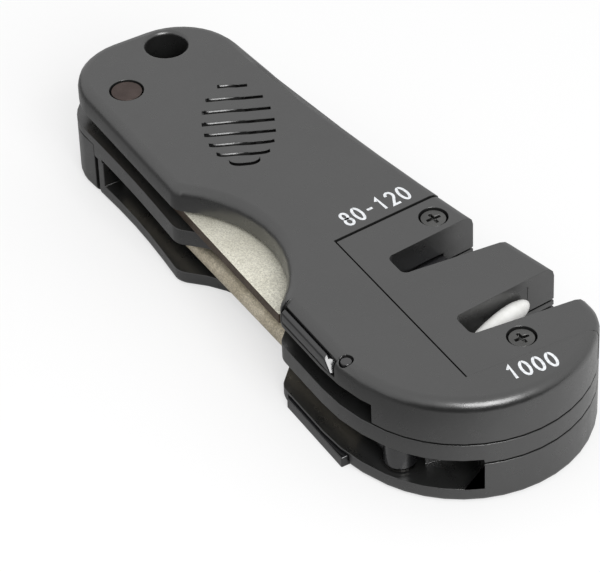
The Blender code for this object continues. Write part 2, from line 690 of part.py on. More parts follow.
def make_rod(divider, rear):
    """Build the tapered rod, its hub, screw and washers."""
    centre = (ROD_PIVOT_X, PIVOT_Y)
    inner = ROD_SCREW_RADIUS + RUNNING_GAP
    hub = turned("rod_hub", centre, [(HUB_RADIUS, HUB_BOTTOM), (HUB_RADIUS, HUB_TOP)], PLASTIC)
    collar_radius = ROD_ROOT_RADIUS - HUB_COLLAR_STEP
    collar_profile = [(collar_radius, 0), (collar_radius, HUB_COLLAR_LENGTH)]
    collar = along_rod("rod_collar", collar_profile)
    boolean(hub, collar, "UNION")
    bore("rod_hub_bore", centre, inner, 0, THICKNESS, hub)

    # The tang sits in the collar, and the rod's shoulder stands just off it
    shoulder = HUB_COLLAR_LENGTH + SEAT_GAP
    tang_end = HUB_COLLAR_LENGTH - ROD_TANG_LENGTH
    reach = (ROD_PIVOT_X - ROD_SLOT_START - ROD_TIP_GAP) / math.cos(ROD_DROOP_ANGLE)
    rod_profile = [
        (ROD_TANG_RADIUS, tang_end),
        (ROD_TANG_RADIUS, shoulder),
        (ROD_ROOT_RADIUS, shoulder),
        (ROD_TIP_RADIUS, reach - ROD_TIP_RADIUS / 2),
        (ROD_TIP_RADIUS / 2, reach),
    ]
    rod = along_rod("diamond_rod", rod_profile, DIAMOND)
    socket_profile = [
        (ROD_TANG_RADIUS + RUNNING_GAP, tang_end - RUNNING_GAP),
        (ROD_TANG_RADIUS + RUNNING_GAP, HUB_COLLAR_LENGTH + OVERRUN),
    ]
    cut(along_rod("rod_socket", socket_profile), hub)
    hinge("rod_axis", centre, ROD_Z, hub, rod)

    end = DIVIDER_HIGH - ROD_SCREW_COVER
    head_low = ROD_SCREW_SINK
    head_high = head_low + ROD_SCREW_HEAD_HEIGHT
    screw_profile = [
        (ROD_SCREW_HEAD_RADIUS, head_low),
        (ROD_SCREW_HEAD_RADIUS, head_high),
        (ROD_SCREW_RADIUS, head_high),
        (ROD_SCREW_RADIUS, end),
    ]
    screw = turned("rod_pivot_screw", centre, screw_profile, STEEL)
    cut_cross("rod_screw_cross", centre, head_low, screw)
    seat_profile = [
        (ROD_SCREW_HEAD_RADIUS + SEAT_GAP, -OVERRUN),
        (ROD_SCREW_HEAD_RADIUS + SEAT_GAP, head_high + SEAT_GAP),
        (inner, head_high + SEAT_GAP),
        (inner, end + SEAT_GAP),
    ]
    cut(turned("rod_screw_seat", centre, seat_profile), divider, rear)

    washer_low = PLATE_THICKNESS + RUNNING_GAP
    washer("rod_washer", centre, inner, ROD_WASHER_RADIUS, washer_low, washer_low + WASHER_THICKNESS)
    wave_washer("rod_wave_washer", centre, inner, ROD_WASHER_RADIUS, HUB_TOP, DIVIDER_LOW)


def along_rod(name, profile, look=None, sides=20):
    """Stack circles given as (radius, distance) pairs along the folded rod's axis."""
    way = Vector((-math.cos(ROD_DROOP_ANGLE), -math.sin(ROD_DROOP_ANGLE), 0))
    side_way = Vector((way.y, -way.x, 0))
    start = Vector((ROD_PIVOT_X, PIVOT_Y, ROD_Z))
    sections = []
    for radius, distance in profile:
        ring = []
        for side in range(sides):
            turn = 2 * math.pi * side / sides
            rim = side_way * math.cos(turn) + Vector((0, 0, 1)) * math.sin(turn)
            ring.append(tuple(start + way * distance + rim * radius))
        sections.append(ring)
    return smooth(loft(name, sections, look))


# Fasteners

def cut_cross(name, centre, face_z, screw):
    """Cut a cross recess into a screw's face."""
    for suffix, half_x, half_y in (("a", CROSS_LENGTH, CROSS_HALF), ("b", CROSS_HALF, CROSS_LENGTH)):
        arm = rectangle(centre[0] - half_x, centre[0] + half_x, centre[1] - half_y, centre[1] + half_y)
        cut(prism(f"{name}_{suffix}", arm, face_z - CROSS_DEPTH, face_z + CROSS_DEPTH), screw)


def make_guide_screw(name, centre, guide, front, divider, rear):
    """Build one of the screws that hold the guide block down."""
    head_high = GUIDE_TOP - SCREW_SINK
    head_low = head_high - SCREW_HEAD_HEIGHT
    foot = PLATE_THICKNESS + SCREW_FOOT_RISE
    head = SCREW_HEAD_RADIUS
    profile = [(SCREW_RADIUS, foot), (SCREW_RADIUS, head_low), (head, head_low), (head, head_high)]
    screw = turned(name, centre, profile, DARK_STEEL)
    cut_cross(name + "_cross", centre, head_high, screw)
    seat = [
        (SCREW_RADIUS + RUNNING_GAP, foot - SEAT_GAP),
        (SCREW_RADIUS + RUNNING_GAP, head_low - SEAT_GAP),
        (SCREW_HEAD_RADIUS + SEAT_GAP, head_low - SEAT_GAP),
        (SCREW_HEAD_RADIUS + SEAT_GAP, THICKNESS + OVERRUN),
    ]
    cut(turned(name + "_seat", centre, seat), guide, front, divider, rear)


# Abrasives

def leaning_bar(name, top, foot, z, section, stations, look=None):
    """Loft an (across, up) section along a level bar, at stations of (share of its size, distance)."""
    start = Vector((foot[0], foot[1], z))
    way = (Vector((top[0], top[1], z)) - start).normalized()
    across = Vector((way.y, -way.x, 0))
    sections = []
    for share, distance in stations:
        centre = start + way * distance
        sections.append([tuple(centre + (across * a + Vector((0, 0, u))) * share) for a, u in section])
    return loft(name, sections, look)


def make_ceramic(name, side, *targets):
    """Build one ceramic rod, which leans across the fine notch; side is 1 in front and -1 behind."""
    top = (FINE_X - side * CERAMIC_TOP_OFFSET, FINE_FLOOR_Y + CERAMIC_TOP_RISE)
    foot = (FINE_X + side * CERAMIC_FOOT_OFFSET, FINE_FLOOR_Y - CERAMIC_FOOT_DROP)
    z = ABRASIVE_Z + side * (CERAMIC_RADIUS + CERAMIC_GAP / 2)
    if side > 0:
        z += CERAMIC_FRONT_RISE
    section = arc((0, 0), CERAMIC_RADIUS, 0, 2 * math.pi)[:-1]
    end_share = 1 - CERAMIC_END_RADIUS / CERAMIC_RADIUS
    length = math.dist(top, foot)
    end = CERAMIC_END_RADIUS
    stations = [(end_share, 0), (1, end), (1, length - end), (end_share, length)]
    smooth(leaning_bar(name, top, foot, z, section, stations, CERAMIC))
    wide = arc((0, 0), CERAMIC_RADIUS + SEAT_GAP, 0, 2 * math.pi)[:-1]
    ends = [(1, -SEAT_GAP), (1, length + SEAT_GAP)]
    cut(leaning_bar(name + "_pocket", top, foot, z, wide, ends), *targets)


def make_carbide(name, side, *targets):
    """Build one carbide blade, which leans across the coarse notch; side is 1 in front and -1 behind."""
    top = (COARSE_X - side * CARBIDE_TOP_OFFSET, COARSE_FLOOR_Y + CARBIDE_TOP_RISE)
    foot = (COARSE_X + side * CARBIDE_FOOT_OFFSET, COARSE_FLOOR_Y - CARBIDE_FOOT_DROP)
    half = CARBIDE_THICKNESS / 2
    z = ABRASIVE_Z + side * (half + CARBIDE_GAP / 2)
    length = math.dist(top, foot)
    section = rectangle(-CARBIDE_HALF_WIDTH, CARBIDE_HALF_WIDTH, -half, half)
    leaning_bar(name, top, foot, z, section, [(1, 0), (1, length)], CARBIDE)
    width = CARBIDE_HALF_WIDTH + SEAT_GAP
    wide = rectangle(-width, width, -half - SEAT_GAP, half + SEAT_GAP)
    ends = [(1, -SEAT_GAP), (1, length + SEAT_GAP)]
    cut(leaning_bar(name + "_pocket", top, foot, z, wide, ends), *targets)


# Catches in the covers' lower edges

def make_catches(front, rear):
    """Build the catch of each cover and the pin that holds it."""
    gap = SEAT_GAP
    pin_y = LOWER_Y + CATCH_PIN_INSET
    inner_y = LOWER_Y + CATCH_DEPTH

    # The front catch shows below a rounded edge of its cover
    low = FRONT_PLATE_Z + CATCH_SILL
    roof = THICKNESS - CATCH_ROOF
    start = SCALLOP_X + scallop_reach() - CATCH_LEAD
    end = start + CATCH_LENGTH
    out_y = LOWER_Y - OVERRUN
    ridge_y = LOWER_Y + CATCH_EDGE_INSET
    edge = [(ridge_y, THICKNESS + OVERRUN)]
    for step in range(EDGE_STEPS + 1):
        turn = CATCH_EDGE_TURN * step / EDGE_STEPS
        drop = CATCH_EDGE_RADIUS * (1 - math.cos(turn))
        edge.append((ridge_y - CATCH_EDGE_RADIUS * math.sin(turn), THICKNESS - drop))
    lip_y = edge[-1][0]
    edge += [(lip_y, roof - gap), (out_y, roof - gap), (out_y, THICKNESS + OVERRUN)]
    cut(bar_along("front_catch_edge", edge, start - gap, end + gap), front)
    seat = rectangle(out_y, inner_y + gap, low - gap, roof)
    cut(bar_along("front_catch_seat", seat, start - gap, end + gap), front)
    round_y = LOWER_Y + CATCH_BAR_RADIUS
    round_z = THICKNESS - CATCH_BAR_DROP - CATCH_BAR_RADIUS
    bar = [(LOWER_Y, low), (inner_y, low), (inner_y, roof - gap), (lip_y - gap, roof - gap)]
    bar += arc((round_y, round_z), CATCH_BAR_RADIUS, math.pi / 2, math.pi)
    bar_along("front_catch", bar, start, end, DARK_STEEL)
    pin = (end + CATCH_PIN_SPACING, pin_y)
    pin_high = THICKNESS - CATCH_PIN_SINK
    turned("front_catch_pin", pin, [(CATCH_PIN_RADIUS, low), (CATCH_PIN_RADIUS, pin_high)], STEEL)
    bore("front_catch_bore", pin, CATCH_PIN_RADIUS + RUNNING_GAP, low - gap, THICKNESS + OVERRUN, front)

    # The rear catch stands a little proud of the wall
    start = SCALLOP_X + scallop_reach() + REAR_CATCH_SHIFT
    end = start + REAR_CATCH_LENGTH
    bar = rectangle(start, end, LOWER_Y - REAR_CATCH_PROUD, inner_y)
    seat = rectangle(start - gap, end + gap, LOWER_Y - OVERRUN, inner_y + gap)
    catch = prism("rear_catch", bar, 0, REAR_CATCH_THICKNESS, DARK_STEEL)
    cut(prism("rear_catch_seat", seat, -OVERRUN, REAR_CATCH_THICKNESS + gap), rear)
    pin = (end - CATCH_PIN_INSET, pin_y)
    turned("rear_catch_pin", pin, [(CATCH_PIN_RADIUS, gap), (CATCH_PIN_RADIUS, REAR_CATCH_THICKNESS)], STEEL)
    bore("rear_catch_bore", pin, CATCH_PIN_RADIUS + RUNNING_GAP, -OVERRUN, PLATE_THICKNESS, catch)


def main():
    """Clear the scene and build the sharpener."""
    for old in list(bpy.data.objects):
        bpy.data.objects.remove(old)
    rear, divider, front, guide = make_body()
    make_file(front, divider, rear)
    make_rod(divider, rear)
    coarse_y = COARSE_FLOOR_Y + (UPPER_Y - COARSE_FLOOR_Y) * COARSE_SCREW_SHARE
    fine_y = FINE_FLOOR_Y + (UPPER_Y - FINE_FLOOR_Y) * FINE_SCREW_SHARE
    coarse_screw = (COARSE_X - COARSE_SCREW_OFFSET, coarse_y)
    fine_screw = (FINE_X + FINE_SCREW_OFFSET, fine_y)
    make_guide_screw("guide_screw_coarse", coarse_screw, guide, front, divider, rear)
    make_guide_screw("guide_screw_fine", fine_screw, guide, front, divider, rear)
    for name, side in (("front", 1), ("rear", -1)):
        make_ceramic(f"ceramic_rod_{name}", side, guide, front, divider)
        make_carbide(f"carbide_blade_{name}", side, guide, front, divider)
    make_catches(front, rear)


main()
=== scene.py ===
"""Looks of the folding knife sharpener: finishes, rounded edges, print, light and camera."""

import math

import bmesh
import bpy
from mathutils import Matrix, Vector


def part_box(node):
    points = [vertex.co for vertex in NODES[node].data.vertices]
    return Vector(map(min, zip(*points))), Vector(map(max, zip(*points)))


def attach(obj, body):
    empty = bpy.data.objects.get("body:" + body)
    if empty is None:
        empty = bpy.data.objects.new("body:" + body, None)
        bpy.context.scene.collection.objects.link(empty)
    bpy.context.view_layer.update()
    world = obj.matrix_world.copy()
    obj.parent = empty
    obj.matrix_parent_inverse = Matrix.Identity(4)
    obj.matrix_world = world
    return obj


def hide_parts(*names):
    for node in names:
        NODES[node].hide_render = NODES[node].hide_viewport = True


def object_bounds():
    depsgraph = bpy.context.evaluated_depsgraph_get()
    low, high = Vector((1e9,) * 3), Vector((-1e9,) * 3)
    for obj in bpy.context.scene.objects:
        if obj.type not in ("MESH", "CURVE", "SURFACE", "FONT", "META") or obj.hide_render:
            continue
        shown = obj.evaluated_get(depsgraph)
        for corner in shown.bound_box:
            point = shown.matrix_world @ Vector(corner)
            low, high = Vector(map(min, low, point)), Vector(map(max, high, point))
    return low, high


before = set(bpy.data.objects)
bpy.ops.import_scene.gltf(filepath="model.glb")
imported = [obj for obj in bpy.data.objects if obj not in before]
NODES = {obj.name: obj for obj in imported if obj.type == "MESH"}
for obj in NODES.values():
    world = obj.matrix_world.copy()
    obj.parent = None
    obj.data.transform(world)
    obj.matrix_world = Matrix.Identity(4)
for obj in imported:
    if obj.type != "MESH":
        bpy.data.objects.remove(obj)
cad_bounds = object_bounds()

# Millimetres in a metre, for the profiles
MILLIMETRES = 1000

# Photograph and its camera
PHOTO_WIDTH = 600
PHOTO_HEIGHT = 572
FOCAL_PIXELS = 3520.6
AXIS_PIXEL = (296.7, 280.7)
SENSOR_WIDTH = 36.0
CAMERA_PLACE = (0.36590, -0.20944, 0.35323)
CAMERA_TURN = tuple(math.radians(a) for a in (50.230, 1.817, 59.466))
CLIP_NEAR = 0.01
CLIP_FAR = 20.0

# Floor: pale to the camera; other rays see painted shade, darker on the -Y side and nearly black in front
FLOOR_HALF = 2.0
FLOOR_COLOUR = 0.88
FLOOR_ROUGHNESS = 0.9
FLOOR_GAP = 0.00005
FLOOR_GLOW = 0.6
FLOOR_SHADE_Y = (-0.040, -0.005)
FLOOR_PAINTED_SHADES = (0.20, 0.66)
FLOOR_FRONT = (0.072, 0.095)
FLOOR_FAR_PAINTED_SHADE = 0.03

# Sky: its brightness by the sine of the elevation, darker low down in front
HORIZON_LIGHT = 0.03
LOW_SKY_LIGHT = 0.05
SKY_LIGHT = 0.82
BACKDROP_LIGHT = 0.66
LOW_SKY_SINE = 0.26
SKY_SINE = 0.52
FRONT_WAY = (0.92, -0.39, 0.0)
FRONT_START = 0.50
FRONT_FULL = 0.80

# Soft box
KEY_AZIMUTH = math.radians(-8.0)
KEY_ELEVATION = math.radians(39.0)
KEY_DISTANCE = 0.70
KEY_SIZE = (0.36, 0.40)
KEY_POWER = 3.4

# Front face: the print is flush with the solids' face, so the cover's own face is a little lower
FACE_DROP = 0.00002
INK_DROP = 0.000002
INK_DEPTH = 0.00004
CREASE_LEAN = math.radians(2.7)
CREASE_FILL = 0.00021
MATCH = 0.00003

# Grip grooves, from the handle end and the file pin
GRIP_INSET = 0.0307
GRIP_RISE = 0.0105
GRIP_COUNT = 8
GRIP_FIRST_PITCH = 0.00335
GRIP_PITCH_DROP = 0.00015
GRIP_ANGLE = math.radians(66.0)
GRIP_HALF = 0.00575
GRIP_END_MARGIN = 0.0010
GRIP_REGION = 0.0130
GRIP_REGION_DEPTH = 0.0013
GRIP_STATIONS = 18
GRIP_SHARES = (0.0, 0.05, 0.08, 0.38, 0.64, 1.0)

# Sections of a groove, in millimetres across it and up: its -Y end, its bright lip and its deep part
GRIP_SIDE = ((0.10, -0.85), (0.14, 0.0), (0.25, 0.2))
GRIP_END = ((-0.95, 0.2), (-0.76, 0.0), (-0.75, -0.03), (-0.74, -0.85)) + GRIP_SIDE
GRIP_LIP = ((-0.95, 0.2), (-0.74, 0.0), (-0.50, -0.26), (-0.48, -0.85)) + GRIP_SIDE
GRIP_DEEP_SIDE = ((0.30, -0.85), (0.35, 0.0), (0.50, 0.2))
GRIP_DEEP = ((-0.60, 0.2), (-0.38, 0.0), (-0.37, -0.03), (-0.36, -0.85)) + GRIP_DEEP_SIDE
GRIP_SECTIONS = (GRIP_END, GRIP_END, GRIP_LIP, GRIP_LIP, GRIP_DEEP, GRIP_DEEP)

# Curl of the grooves' ends: its growth for each groove after the first straight ones
HOOK_LEFT = 0.00015
HOOK_LEFT_AFTER = 3
HOOK_RIGHT = 0.00022
HOOK_RIGHT_AFTER = 4
HOOK_POWER = 9.0
LAST_HOOK = 0.00085
LAST_POWER = 3.9

# Guide screws: the height of the head, and how far it is raised
SCREW_HEAD = 0.0009
SCREW_RAISE = 0.0004

# Catch bar's sloped end: its normal, and its distance from the origin along it
CATCH_SLOPE = (0.728, -0.243, 0.642)
CATCH_REACH = 0.03800

# Front ceramic rod's pocket: the plan ends of its closed top in the notch wall, its depth and its heights
POCKET_ENDS = ((0.03334, 0.0060), (0.03249, 0.0152))
POCKET_DEPTH = 0.00040
POCKET_HEIGHTS = (0.0131, 0.0176)

# Ceramic rods: the profile lists shares of the length, and radii in millimetres
CERAMIC_LEAN = math.radians(16.9)
CERAMIC_LENGTH = 0.0162
CERAMIC_SIDES = 40
CERAMIC_PROFILE = (
    (-0.500, 0.02), (-0.495, 0.30), (-0.480, 0.50), (-0.44, 0.68), (-0.36, 0.86), (-0.26, 1.10),
    (-0.16, 1.35), (-0.05, 1.52), (0.08, 1.64), (0.18, 1.66), (0.26, 1.60), (0.33, 1.44),
    (0.39, 1.18), (0.43, 0.90), (0.455, 0.62), (0.468, 0.36), (0.474, 0.02),
)

# Print: each mark's top left corner, reading angle, length and height
MARK_ONE = ((0.00440, -0.00165), math.radians(94.2), 0.0122, 0.0035)
MARK_TWO = ((0.04720, 0.00050), math.radians(84.0), 0.0080, 0.0034)
GLYPH_SHARE = 0.80
STROKE_WIDTH = 0.00045
MITRE_LIMIT = 0.5

# Colours and roughness
COVER_BLACK = (0.012, 0.0122, 0.012)
COVER_ROUGHNESS = 0.30
COVER_SPECULAR = 1.0
COVER_GRAIN_DEPTH = 0.000010
GLOSS_BLACK = (0.010, 0.010, 0.011)
GLOSS_ROUGHNESS = 0.16
GLOSS_SPECULAR = 0.8
GLOSS_GRAIN_DEPTH = 0.000003
BLACK_STEEL = (0.075, 0.073, 0.070)
SCREW_STEEL = (0.145, 0.145, 0.142)
STEEL_ROUGHNESS = 0.30
PIN_STEEL = (0.11, 0.085, 0.078)
PIN_ROUGHNESS = 0.42
FILE_GRIT = (0.80, 0.78, 0.68)
FILE_WORN = (0.70, 0.68, 0.58)
# File's side faces: bare steel finish, with its dark brown colour painted shade
FILE_SIDE_PAINTED_SHADE = (0.16, 0.12, 0.09)
FILE_SIDE_ROUGHNESS = 0.45
ROD_GRIT = (0.72, 0.65, 0.52)
ROD_WORN = (0.50, 0.44, 0.33)
CERAMIC_WHITE = (0.82, 0.82, 0.80)
CERAMIC_BLOOM = (0.74, 0.74, 0.71)
CERAMIC_ROUGHNESS = 0.42
CARBIDE_GREY = (0.16, 0.16, 0.17)
CARBIDE_DARK = (0.10, 0.10, 0.11)
CARBIDE_PALE = (0.24, 0.24, 0.25)
CARBIDE_ROUGHNESS = 0.34
INK_WHITE = (0.80, 0.82, 0.84)
INK_THIN = (0.55, 0.57, 0.59)
INK_ROUGHNESS = 0.5

# Noises: cells to the metre, detail and roughness
PLASTIC_GRAIN = (3800.0, 3.0, 0.6)
PLASTIC_CLOUDS = (55.0, 4.0, 0.6)
PLASTIC_DUST = (5200.0, 1.0)
PLASTIC_SHEEN = (420.0, 5.0, 0.65)
PLASTIC_WAVES = (160.0, 3.0)
STEEL_LINES = (3000.0, 3.0, 0.6)
STEEL_STAINS = (350.0, 4.0)
GRIT_PATCHES = (180.0, 5.0, 0.7)
GRIT_WAVES = (900.0, 4.0)
CERAMIC_CLOUDS = (500.0, 4.0, 0.7)
CERAMIC_GRAIN = (2600.0, 3.0, 0.6)
CARBIDE_LINES = (5200.0, 3.0, 0.7)
INK_CLOUDS = (2200.0, 3.0)
INK_GRAIN = (4000.0,)
GRIT_CELLS = 5200.0

# Depths of the bumps, in metres
PLASTIC_WAVE_DEPTH = 0.00001
STEEL_LINE_DEPTH = 0.000006
GRIT_DEPTH = 0.00003
GRIT_WAVE_DEPTH = 0.00002
CERAMIC_GRAIN_DEPTH = 0.00002
CARBIDE_LINE_DEPTH = 0.000008
INK_GRAIN_DEPTH = 0.000006

# How finishes vary over a piece
PLASTIC_IOR = 1.6
PALE_SHARE = 1.18
DEEP_SHARE = 0.86
DUST_SHARE = 1.5
STAIN_SHARE = 0.75
SHEEN_FALL = 0.05
SHEEN_RISE = 0.06
LINE_GLOSS_SHARES = (0.7, 1.3)
GRIT_METALLIC = 0.35
GRIT_ROUGHNESS = 0.55
GRAIN_MIX_SHARE = 0.85
GRAIN_DARK = (0.74, 0.74, 0.72)
GRAIN_EVEN = (0.96, 0.96, 0.96)
GRAIN_BRIGHT = (1.2, 1.2, 1.18)
GRAIN_DULL_ROUGHNESS = 0.65
GRAIN_SHINY_ROUGHNESS = 0.32
CARBIDE_STRETCH = (1.0, 0.08, 1.0)

# Meshes and edge rounding
SIDE_ANGLE = math.radians(45.0)
BEVEL_ANGLE = math.radians(33.0)
FINE_EDGE = 0.00010
SOFT_EDGE = 0.00018
EDGE_SEGMENTS = 2
MERGE_DISTANCE = 0.000002
NEAR_DISTANCE = 0.00008
FLAT_ANGLE = math.radians(0.3)


# Node graphs

def new_material(name, colour, roughness, metallic=0.0, specular=0.5):
    """Make a Principled material and return it with its tree and shader."""
    made = bpy.data.materials.new(name)
    made.use_nodes = True
    tree = made.node_tree
    shader = tree.nodes["Principled BSDF"]
    shader.inputs["Base Color"].default_value = (*colour, 1.0)
    shader.inputs["Roughness"].default_value = roughness
    shader.inputs["Metallic"].default_value = metallic
    shader.inputs["Specular IOR Level"].default_value = specular
    return made, tree, shader


def coordinates(tree, stretch=(1.0, 1.0, 1.0)):
    """Give object coordinates, stretched along the axes."""
    place = tree.nodes.new("ShaderNodeTexCoord")
    mapping = tree.nodes.new("ShaderNodeMapping")
    mapping.inputs["Scale"].default_value = stretch
    tree.links.new(place.outputs["Object"], mapping.inputs["Vector"])
    return mapping.outputs["Vector"]


def noise(tree, vector, scale, detail=2.0, roughness=0.5):
    """Give a noise of that many cells to the metre."""
    node = tree.nodes.new("ShaderNodeTexNoise")
    node.inputs["Scale"].default_value = scale
    node.inputs["Detail"].default_value = detail
    node.inputs["Roughness"].default_value = roughness
    tree.links.new(vector, node.inputs["Vector"])
    return node.outputs["Fac"]


def speckle(tree, vector, scale):
    """Give a random value for each of that many cells to the metre, and the distance from its middle."""
    node = tree.nodes.new("ShaderNodeTexVoronoi")
    node.inputs["Scale"].default_value = scale
    tree.links.new(vector, node.inputs["Vector"])
    parted = tree.nodes.new("ShaderNodeSeparateColor")
    tree.links.new(node.outputs["Color"], parted.inputs["Color"])
    return parted.outputs["Red"], node.outputs["Distance"]


def ramp(tree, value, *stops):
    """Map a value through a colour ramp of (position, colour) stops."""
    node = tree.nodes.new("ShaderNodeValToRGB")
    elements = node.color_ramp.elements
    while len(elements) < len(stops):
        elements.new(1.0)
    for element, (position, colour) in zip(elements, stops):
        element.position = position
        element.color = (*colour, 1.0) if len(colour) == 3 else (colour[0], colour[0], colour[0], 1.0)
    tree.links.new(value, node.inputs["Fac"])
    return node.outputs["Color"]


def mix(tree, share, first, second, blend="MIX"):
    """Mix two colours; each may be an output or a colour."""
    node = tree.nodes.new("ShaderNodeMix")
    node.data_type = "RGBA"
    node.blend_type = blend
    for socket, value in ((node.inputs["Factor"], share), (node.inputs[6], first), (node.inputs[7], second)):
        if isinstance(value, bpy.types.NodeSocket):
            tree.links.new(value, socket)
        elif isinstance(value, float):
            socket.default_value = value
        else:
            socket.default_value = (*value, 1.0)
    return node.outputs[2]


def math_node(tree, operation, *values):
    """Work out a value from outputs or numbers."""
    node = tree.nodes.new("ShaderNodeMath")
    node.operation = operation
    for socket, value in zip(node.inputs, values):
        if isinstance(value, bpy.types.NodeSocket):
            tree.links.new(value, socket)
        else:
            socket.default_value = value
    return node.outputs["Value"]


def bump(tree, shader, *layers):
    """Stack bump layers of (height, distance in metres) onto the shader."""
    normal = None
    for height, distance in layers:
        node = tree.nodes.new("ShaderNodeBump")
        node.inputs["Strength"].default_value = 1.0
        node.inputs["Distance"].default_value = distance
        tree.links.new(height, node.inputs["Height"])
        if normal:
            tree.links.new(normal, node.inputs["Normal"])
        normal = node.outputs["Normal"]
    tree.links.new(normal, shader.inputs["Normal"])


# Finishes

def moulded_plastic(name, colour, roughness, grain_depth, specular):
    """Black moulding with a fine spark grain, a cloudy sheen and a little pale dust."""
    made, tree, shader = new_material(name, colour, roughness, specular=specular)
    shader.inputs["IOR"].default_value = PLASTIC_IOR
    place = coordinates(tree)
    grain = noise(tree, place, *PLASTIC_GRAIN)
    clouds = noise(tree, place, *PLASTIC_CLOUDS)
    pale = tuple(c * PALE_SHARE for c in colour)
    deep = tuple(c * DEEP_SHARE for c in colour)
    dusty = tuple(c * DUST_SHARE for c in colour)
    tone = ramp(tree, clouds, (0.35, deep), (0.65, pale))
    dust = ramp(tree, noise(tree, place, *PLASTIC_DUST), (0.60, (0.0,)), (0.78, (1.0,)))
    tree.links.new(mix(tree, dust, tone, dusty), shader.inputs["Base Color"])
    low = (roughness - SHEEN_FALL,)
    high = (roughness + SHEEN_RISE,)
    sheen = ramp(tree, noise(tree, place, *PLASTIC_SHEEN), (0.3, low), (0.7, high))
    tree.links.new(sheen, shader.inputs["Roughness"])
    waves = noise(tree, place, *PLASTIC_WAVES)
    bump(tree, shader, (grain, grain_depth), (waves, PLASTIC_WAVE_DEPTH))
    return made


def machined_steel(name, colour, roughness):
    """Steel with fine tool lines and a slightly uneven gloss."""
    made, tree, shader = new_material(name, colour, roughness, 1.0)
    place = coordinates(tree)
    lines = noise(tree, place, *STEEL_LINES)
    stain = tuple(c * STAIN_SHARE for c in colour)
    tone = ramp(tree, noise(tree, place, *STEEL_STAINS), (0.3, stain), (0.7, colour))
    tree.links.new(tone, shader.inputs["Base Color"])
    smooth, rough = ((roughness * share,) for share in LINE_GLOSS_SHARES)
    tree.links.new(ramp(tree, lines, (0.3, smooth), (0.7, rough)), shader.inputs["Roughness"])
    bump(tree, shader, (lines, STEEL_LINE_DEPTH))
    return made


def diamond_grit(name, colour, worn):
    """Nickel plate set with diamond grit: dull, sandy and speckled, browner where it is worn."""
    made, tree, shader = new_material(name, colour, GRIT_ROUGHNESS, GRIT_METALLIC)
    place = coordinates(tree)
    cell, distance = speckle(tree, place, GRIT_CELLS)
    patches = ramp(tree, noise(tree, place, *GRIT_PATCHES), (0.35, worn), (0.62, colour))
    grains = ramp(tree, cell, (0.0, GRAIN_DARK), (0.5, GRAIN_EVEN), (1.0, GRAIN_BRIGHT))
    tree.links.new(mix(tree, GRAIN_MIX_SHARE, patches, grains, "MULTIPLY"), shader.inputs["Base Color"])
    gloss = ramp(tree, cell, (0.2, (GRAIN_DULL_ROUGHNESS,)), (0.95, (GRAIN_SHINY_ROUGHNESS,)))
    tree.links.new(gloss, shader.inputs["Roughness"])
    waves = noise(tree, place, *GRIT_WAVES)
    bump(tree, shader, (distance, GRIT_DEPTH), (waves, GRIT_WAVE_DEPTH))
    return made


def fired_ceramic(name):
    """White abrasive ceramic with a faint grey bloom."""
    made, tree, shader = new_material(name, CERAMIC_WHITE, CERAMIC_ROUGHNESS)
    place = coordinates(tree)
    tone = ramp(tree, noise(tree, place, *CERAMIC_CLOUDS), (0.3, CERAMIC_BLOOM), (0.6, CERAMIC_WHITE))
    tree.links.new(tone, shader.inputs["Base Color"])
    bump(tree, shader, (noise(tree, place, *CERAMIC_GRAIN), CERAMIC_GRAIN_DEPTH))
    return made


def ground_carbide(name):
    """Dark carbide with grinding lines."""
    made, tree, shader = new_material(name, CARBIDE_GREY, CARBIDE_ROUGHNESS, 1.0)
    lines = noise(tree, coordinates(tree, CARBIDE_STRETCH), *CARBIDE_LINES)
    tone = ramp(tree, lines, (0.3, CARBIDE_DARK), (0.7, CARBIDE_PALE))
    tree.links.new(tone, shader.inputs["Base Color"])
    bump(tree, shader, (lines, CARBIDE_LINE_DEPTH))
    return made


def print_ink(name):
    """White pad print, a little thin in places."""
    made, tree, shader = new_material(name, INK_WHITE, INK_ROUGHNESS)
    place = coordinates(tree)
    tone = ramp(tree, noise(tree, place, *INK_CLOUDS), (0.30, INK_THIN), (0.55, INK_WHITE))
    tree.links.new(tone, shader.inputs["Base Color"])
    bump(tree, shader, (noise(tree, place, *INK_GRAIN), INK_GRAIN_DEPTH))
    return made


# Pieces

def clean_copy(node, change=None):
    """Copy a CAD node's mesh into a new piece, with its split vertices and flat faces joined."""
    mesh = NODES[node].data.copy()
    bm = bmesh.new()
    bm.from_mesh(mesh)
    bmesh.ops.remove_doubles(bm, verts=bm.verts, dist=MERGE_DISTANCE)
    if change:
        change(bm)
    bmesh.ops.dissolve_limit(bm, angle_limit=FLAT_ANGLE, verts=bm.verts, edges=bm.edges)
    bmesh.ops.recalc_face_normals(bm, faces=bm.faces)
    bm.to_mesh(mesh)
    bm.free()
    mesh.materials.clear()
    made = bpy.data.objects.new(node + "_skin", mesh)
    bpy.context.collection.objects.link(made)
    return made


def grip_middle():
    """Give the middle of the grip on the front face."""
    low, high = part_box("front_cover")
    pin_low, pin_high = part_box("file_pivot_pin")
    return Vector((low.x + GRIP_INSET, (pin_low.y + pin_high.y) / 2 + GRIP_RISE, high.z))


def join_near(bm):
    """Join the near points that the slots' corners leave beside the head's facets."""
    bmesh.ops.remove_doubles(bm, verts=bm.verts, dist=NEAR_DISTANCE)


def plain_face(bm):
    """Close the plain grip grooves of the front face and set the face a little lower."""
    middle = grip_middle()
    low = middle.z - GRIP_REGION_DEPTH
    high = middle.z - MATCH
    inside = [v for v in bm.verts if (v.co - middle).length < GRIP_REGION and low < v.co.z < high]
    bmesh.ops.delete(bm, geom=inside, context="VERTS")
    rims = [edge for edge in bm.edges if edge.is_boundary]
    bmesh.ops.holes_fill(bm, edges=rims, sides=0)
    for vert in bm.verts:
        if vert.co.z > middle.z - MATCH:
            vert.co.z -= FACE_DROP


